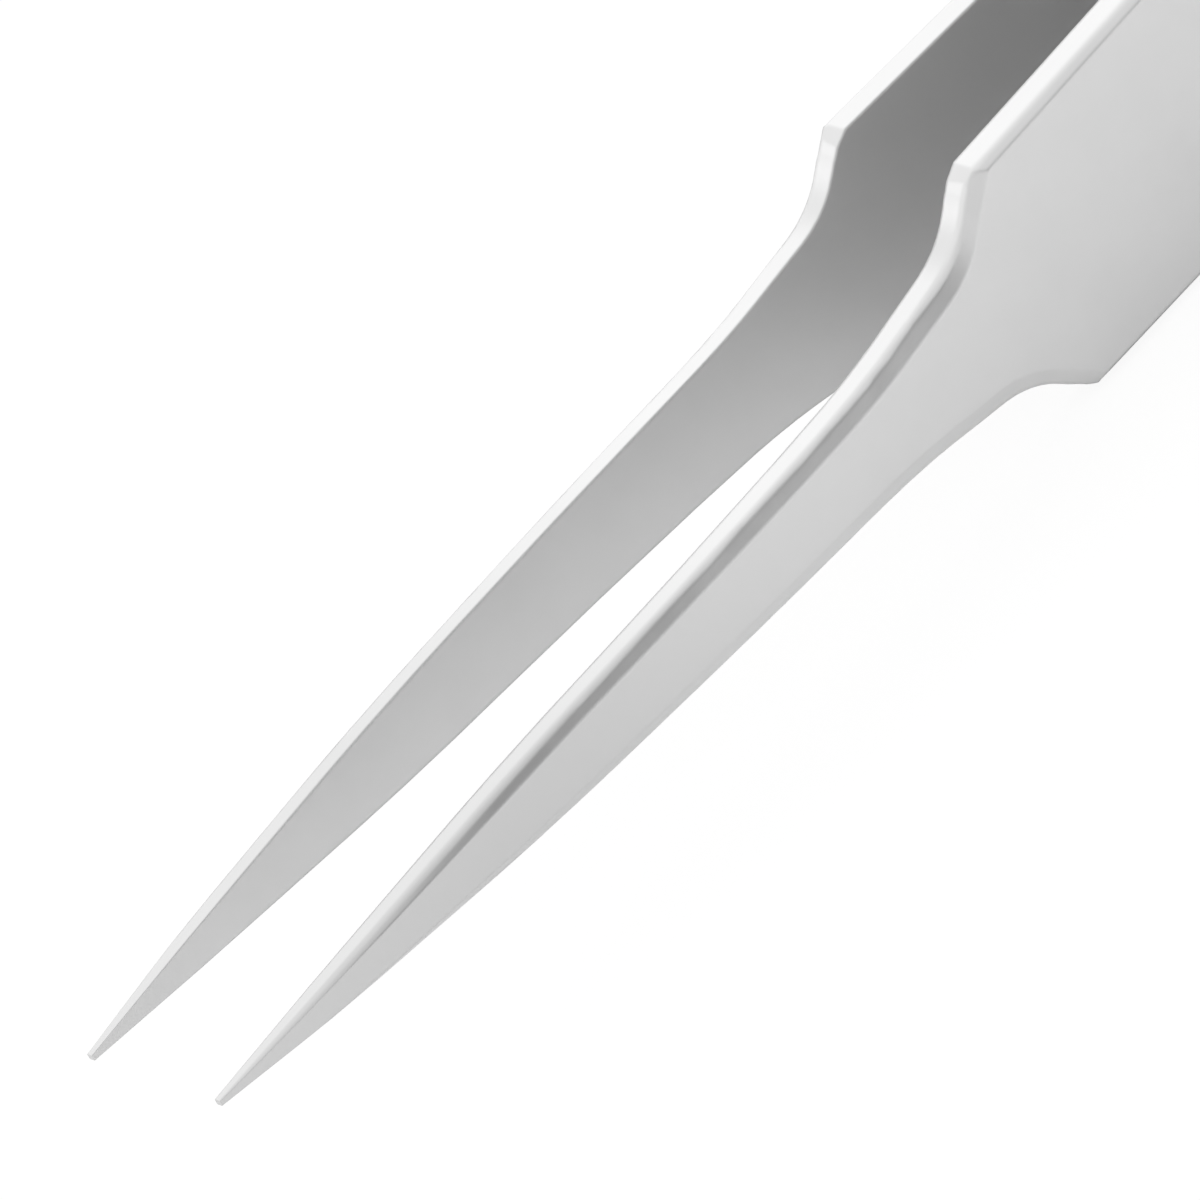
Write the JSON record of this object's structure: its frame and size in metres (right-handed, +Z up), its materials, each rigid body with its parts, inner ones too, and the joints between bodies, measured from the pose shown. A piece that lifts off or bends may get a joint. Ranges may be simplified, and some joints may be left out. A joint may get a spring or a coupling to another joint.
{
  "type": "fine-point titanium tweezers",
  "caption": "Slim fine-pointed tweezers with shouldered shanks, for picking up and placing small delicate parts.",
  "frame": {"origin": "middle of the long lower edges that the tweezers rest on, halfway between points and welded end", "axes": "+X from the points towards the welded end, +Y across the two arms, +Z up along the width of the arms"},
  "size_m": [0.115, 0.0088, 0.0097],
  "materials": {
    "titanium": "satin"
  },
  "bodies": {
    "root": {"left_arm": "titanium", "right_arm": "titanium"}
  },
  "joints": []
}
